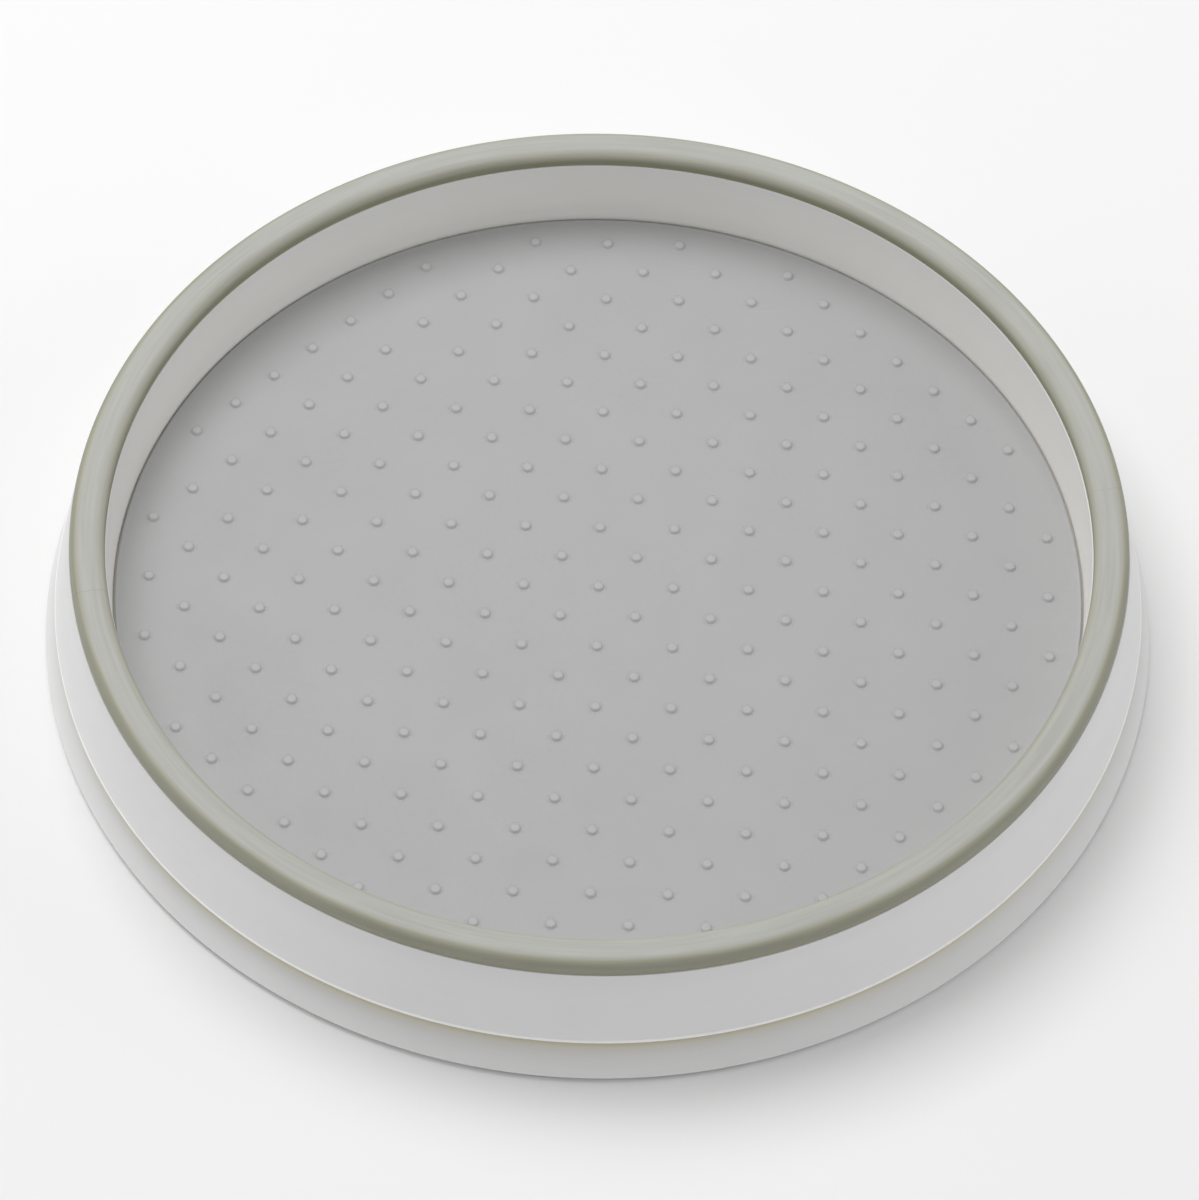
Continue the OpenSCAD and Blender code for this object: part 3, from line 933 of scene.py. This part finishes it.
class TURNTABLE_OT_mat(Operator):
    """Bumped mat: a thin disc with filleted low domes on a square lattice turned 45 degrees"""

    bl_idname = "turntable.mat"
    bl_label = "Bumped Mat"

    def execute(self, context):
        s = context.scene.turntable_mat
        face = mat_low.z + s.thickness
        rise = mat_high.z - face
        dome = self.dome_outline(s, rise)
        spots = self.spots(s)
        bm = bmesh.new()
        self.add_flat(bm, spots, dome[0].x, s.bump_sides, face)
        for spot in spots:
            add_turned(bm, [(r, face + h) for r, h in dome], s.bump_sides, spot, closed=False)
        bmesh.ops.remove_doubles(bm, verts=bm.verts, dist=1e-6)
        piece = finished_object("bumped_mat", bm)
        look = bumped_grey(tuple(context.scene.turntable_looks.mat_grey), face, rise, mat_high.x)
        settle(piece, "tray", ["tray_mat"], look)
        return {"FINISHED"}

    @staticmethod
    def spots(s):
        rows = math.ceil(2 * s.bump_field / s.bump_pitch)
        found = []
        for row in range(-rows, rows + 1):
            shift = 0.5 * (row % 2)
            for column in range(-rows, rows + 1):
                spot = Vector(((column + shift) * s.bump_pitch, row * s.bump_pitch / 2))
                if spot.length < s.bump_field:
                    found.append(spot)
        return found

    @staticmethod
    def dome_outline(s, rise):
        """From the flat, over the blend at the foot and up to the crown: (radius, height) points."""
        foot = s.bump_radius - 0.1 * MM
        return rounded([
            (foot + 0.45 * MM, 0, 0),
            (foot, 0, s.bump_fillet),
            (foot * 0.64, rise * 0.9, 0.6 * MM),
            (0, rise, 0),
        ], 6, 0.02 * MM)

    @staticmethod
    def add_flat(bm, spots, hole, sides, face):
        """The flat face as triangles round the domes, with a rounded edge and a plain underside."""
        rim = rounded([(0, face, 0), (mat_high.x, face, 0.2 * MM), (mat_high.x, mat_low.z, 0.2 * MM),
                       (0, mat_low.z, 0)], 4)[1:]
        flat_radius = rim[0].x
        points = [Vector((flat_radius * math.cos(a), flat_radius * math.sin(a)))
                  for a in (2 * math.pi * k / TURN_STEPS for k in range(TURN_STEPS))]
        edges = [(k, (k + 1) % TURN_STEPS) for k in range(TURN_STEPS)]
        for spot in spots:
            first = len(points)
            for k in range(sides):
                a = 2 * math.pi * k / sides
                points.append(spot + Vector((hole * math.cos(a), hole * math.sin(a))))
                edges.append((first + k, first + (k + 1) % sides))
        flat, _, faces, _, _, _ = delaunay_2d_cdt(points, edges, [], 0, 1e-7)
        verts = [bm.verts.new((p.x, p.y, face)) for p in flat]
        for corners in faces:
            middle = sum((flat[k] for k in corners), Vector((0, 0))) / len(corners)
            if middle.length < flat_radius and not any((middle - s).length < hole * 0.98 for s in spots):
                bm.faces.new([verts[k] for k in corners])
        add_turned(bm, rim, TURN_STEPS, closed=False)


class TURNTABLE_OT_bearing(Operator):
    """Ball cage with its pockets and windows, and the polished steel balls"""

    bl_idname = "turntable.bearing"
    bl_label = "Ball Cage and Balls"

    def execute(self, context):
        t = context.scene.turntable_bearing
        looks = context.scene.turntable_looks
        inner = 2 * t.track_radius - cage_high.x
        ring = rounded([(cage_high.x, cage_low.z, SMALL), (cage_high.x, cage_high.z, SMALL),
                        (inner, cage_high.z, SMALL), (inner, cage_low.z, SMALL)], 3)
        cage = turned("cage_ring", ring)
        low, high = cage_low.z - CUT, cage_high.z + CUT
        pockets = ring_of_posts("pockets", post(t.groove_radius, low, high), len(BALLS), t.track_radius,
                                steps=48)
        combine(cage, pockets, "DIFFERENCE")
        half_step = math.pi / len(BALLS)
        spread = math.atan2(0.5 * (cage_high.x - inner), t.track_radius)
        for side in (-1, 1):
            windows = ring_of_posts("windows", post(WINDOW, low, high), len(BALLS), t.track_radius,
                                    half_step + side * spread, 32)
            combine(cage, windows, "DIFFERENCE")
        settle(cage, "cage", ["ball_cage"],
               natural_acetal("cage_acetal", tuple(looks.cage_acetal), 0.4))
        steel = plated_steel("ball_steel", (0.66, 0.66, 0.67), 0.06, 0.14, 0.02)
        for name in BALLS:
            self.add_ball(name, steel)
        return {"FINISHED"}

    @staticmethod
    def add_ball(name, steel):
        low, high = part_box(name)
        bm = bmesh.new()
        bmesh.ops.create_icosphere(bm, subdivisions=4, radius=(high.z - low.z) / 2)
        bmesh.ops.translate(bm, vec=(low + high) / 2, verts=bm.verts)
        settle(finished_object(f"{name}_steel", bm), name, [name], steel)


class TURNTABLE_OT_pivot(Operator):
    """Centre fastening: threaded screw with a cross recess, steel washer and slip washer"""

    bl_idname = "turntable.pivot"
    bl_label = "Pivot Screw and Washers"

    def execute(self, context):
        s = context.scene.turntable_pivot
        looks = context.scene.turntable_looks
        zinc = plated_steel("screw_zinc", (0.60, 0.60, 0.58), 0.22, 0.38, 0.2)
        settle(self.screw(s), "tray", ["pivot_screw"], zinc)
        washer = self.washer("pressed_washer", washer_low, washer_high, s.washer_hole, 0.35 * MM)
        settle(washer, "tray", ["retaining_washer"],
               plated_steel("washer_zinc", (0.58, 0.58, 0.56), 0.28, 0.45, 0.25))
        slip = self.washer("slip_ring", slip_low, slip_high, s.slip_hole, 0.2 * MM)
        settle(slip, "base", ["slip_washer"],
               natural_acetal("slip_acetal", shaded(tuple(looks.cage_acetal), 1.1), 0.25))
        return {"FINISHED"}

    @staticmethod
    def washer(name, low, high, hole, rounding):
        corners = [(high.x, low.z, rounding), (high.x, high.z, rounding), (hole, high.z, rounding / 2),
                   (hole, low.z, rounding / 2)]
        return turned(name, rounded(corners, 4, 0.05 * MM), SMALL_TURN_STEPS * 2)

    @staticmethod
    def screw(s):
        """Pan head, smooth neck and a threaded shank, with a cross recess cut in the head."""
        shank, pitch = s.shank_radius, s.thread_pitch
        core = shank - s.thread_depth
        head_top, neck, tip = washer_low.z, washer_high.z, screw_high.z
        thread_low, thread_high = neck + 0.6 * MM, tip - 1 * MM
        shank_steps = 80
        shank_points = [Vector((core, thread_low + (thread_high - thread_low) * k / shank_steps))
                        for k in range(shank_steps + 1)]
        outline = rounded([
            (0, screw_low.z, 0),
            (screw_high.x * 0.86, screw_low.z, SOFT),
            (screw_high.x, screw_low.z + 0.75 * MM, 0.35 * MM),
            (screw_high.x, head_top, FINE),
            (shank, head_top, FINE),
            (shank, neck, FINE),
            *shank_points,
            (0, tip, 0),
        ], 4, 0.05 * MM)
        bm = bmesh.new()
        add_turned(bm, outline, SMALL_TURN_STEPS, closed=False)
        for vert in bm.verts:
            if thread_low < vert.co.z < thread_high:
                turn = math.atan2(vert.co.y, vert.co.x) / (2 * math.pi)
                phase = (vert.co.z / pitch - turn) % 1
                fade = min(1, (vert.co.z - thread_low) / pitch, (thread_high - vert.co.z) / pitch)
                lift = (shank - core) * fade * max(0, 1 - abs(2 * phase - 1) * 1.5)
                vert.co.x *= (core + lift) / core
                vert.co.y *= (core + lift) / core
        piece = finished_object("threaded_screw", bm)
        low, high = screw_low.z - CUT, screw_low.z + 1.2 * MM
        top, foot = s.recess_reach, s.recess_reach - 1 * MM
        slot = [(-top, low), (top, low), (foot, high), (-foot, high)]
        for angle in (20, 110):
            bm = bmesh.new()
            add_rib(bm, slot, s.recess_width, math.radians(angle))
            combine(piece, finished_object("recess_slot", bm), "DIFFERENCE")
        return piece


# ---------------------------------------------------------------- stage

# Side, place and width and height in metres; each faces the middle of the floor.
SOFTBOXES = (("key", (-0.50, 0.75, 1.75), (1.5, 1.1)), ("left", (-1.9, 0.1, 0.9), (1.2, 1.2)),
             ("right", (1.9, 0.1, 0.9), (1.2, 1.2)), ("front", (0.0, -2.0, 0.7), (1.6, 0.9)))
FLOOR_RADIUS = 14


class TURNTABLE_OT_stage(Operator):
    """Pale floor, soft studio light and the camera"""

    bl_idname = "turntable.stage"
    bl_label = "Floor, Light and Camera"

    def execute(self, context):
        s = context.scene.turntable_stage
        self.floor(tuple(context.scene.turntable_looks.floor_pale))
        self.room(context.scene, s.room_light)
        for side, place, size in SOFTBOXES:
            self.softbox(f"{side}_softbox", Vector(place), size, getattr(s, f"{side}_power"))
        self.camera(context.scene, s)
        context.scene.view_settings.view_transform = "Standard"
        return {"FINISHED"}

    @staticmethod
    def floor(rgb):
        bm = bmesh.new()
        bmesh.ops.create_circle(bm, cap_ends=True, segments=96, radius=FLOOR_RADIUS)
        sheet = finished_object("studio_floor", bm)
        b = Bench("floor_paint")
        b.link(b.blend(b.noise(3, 2), shaded(rgb, 0.99), rgb), b.shader.inputs["Base Color"])
        b.plain(Roughness=0.9, Specular_IOR_Level=0.1)
        sheet.data.materials.append(b.material)

    @staticmethod
    def room(scene, strength):
        room = bpy.data.worlds.new("white_room")
        room.use_nodes = True
        light = room.node_tree.nodes["Background"]
        light.inputs["Color"].default_value = (1, 1, 1, 1)
        light.inputs["Strength"].default_value = strength
        scene.world = room

    @staticmethod
    def softbox(name, place, size, power):
        lamp = bpy.data.lights.new(name, "AREA")
        lamp.shape = "RECTANGLE"
        lamp.size, lamp.size_y = size
        lamp.energy = power
        made = bpy.data.objects.new(name, lamp)
        made.location = place
        made.rotation_mode = "QUATERNION"
        made.rotation_quaternion = (-place).to_track_quat("-Z", "Y")
        bpy.context.scene.collection.objects.link(made)

    @staticmethod
    def camera(scene, s):
        data = bpy.data.cameras.new("camera")
        data.lens = s.lens
        data.sensor_width = 36
        data.clip_start, data.clip_end = 0.05, 60
        aim = Vector((0.34 * MM, -2.765 * MM, mat_low.z - 1.1 * MM))
        tilt = Matrix.Rotation(math.pi / 2 - s.view_height, 3, "X") @ Matrix.Rotation(s.view_roll, 3, "Z")
        turn = Matrix.Rotation(s.view_turn, 3, "Z") @ tilt
        camera = bpy.data.objects.new("camera", data)
        camera.rotation_mode = "QUATERNION"
        camera.rotation_quaternion = turn.to_quaternion()
        camera.location = aim + turn @ Vector((0, 0, s.view_distance))
        scene.collection.objects.link(camera)
        scene.camera = camera


# ---------------------------------------------------------------- panel and registration

PIECE_OPERATORS = (TURNTABLE_OT_base, TURNTABLE_OT_feet, TURNTABLE_OT_tray, TURNTABLE_OT_grip,
                   TURNTABLE_OT_mat, TURNTABLE_OT_bearing, TURNTABLE_OT_pivot, TURNTABLE_OT_stage)
SETTINGS = {"turntable_base": BaseSizes, "turntable_tray": TraySizes, "turntable_bearing": BearingSizes,
            "turntable_mat": MatSizes, "turntable_pivot": PivotSizes, "turntable_looks": Finishes,
            "turntable_stage": StageSettings}


class TURNTABLE_PT_parts(Panel):
    """Lists the turntable's pieces and their settings"""

    bl_idname = "TURNTABLE_PT_parts"
    bl_label = "Turntable"
    bl_space_type = "VIEW_3D"
    bl_region_type = "UI"
    bl_category = "Turntable"

    def draw(self, context):
        for operator in PIECE_OPERATORS:
            self.layout.operator(operator.bl_idname)
        for name, group in SETTINGS.items():
            box = self.layout.box()
            for prop in group.__annotations__:
                box.prop(getattr(context.scene, name), prop)


def register():
    for group in SETTINGS.values():
        bpy.utils.register_class(group)
    for name, group in SETTINGS.items():
        setattr(bpy.types.Scene, name, PointerProperty(type=group))
    for operator in PIECE_OPERATORS:
        bpy.utils.register_class(operator)
    bpy.utils.register_class(TURNTABLE_PT_parts)


def unregister():
    bpy.utils.unregister_class(TURNTABLE_PT_parts)
    for operator in reversed(PIECE_OPERATORS):
        bpy.utils.unregister_class(operator)
    for name, group in SETTINGS.items():
        delattr(bpy.types.Scene, name)
        bpy.utils.unregister_class(group)


def main():
    register()
    bpy.ops.turntable.base()
    bpy.ops.turntable.feet()
    bpy.ops.turntable.tray()
    bpy.ops.turntable.grip()
    bpy.ops.turntable.mat()
    bpy.ops.turntable.bearing()
    bpy.ops.turntable.pivot()
    bpy.ops.turntable.stage()


if __name__ == "__main__":
    main()
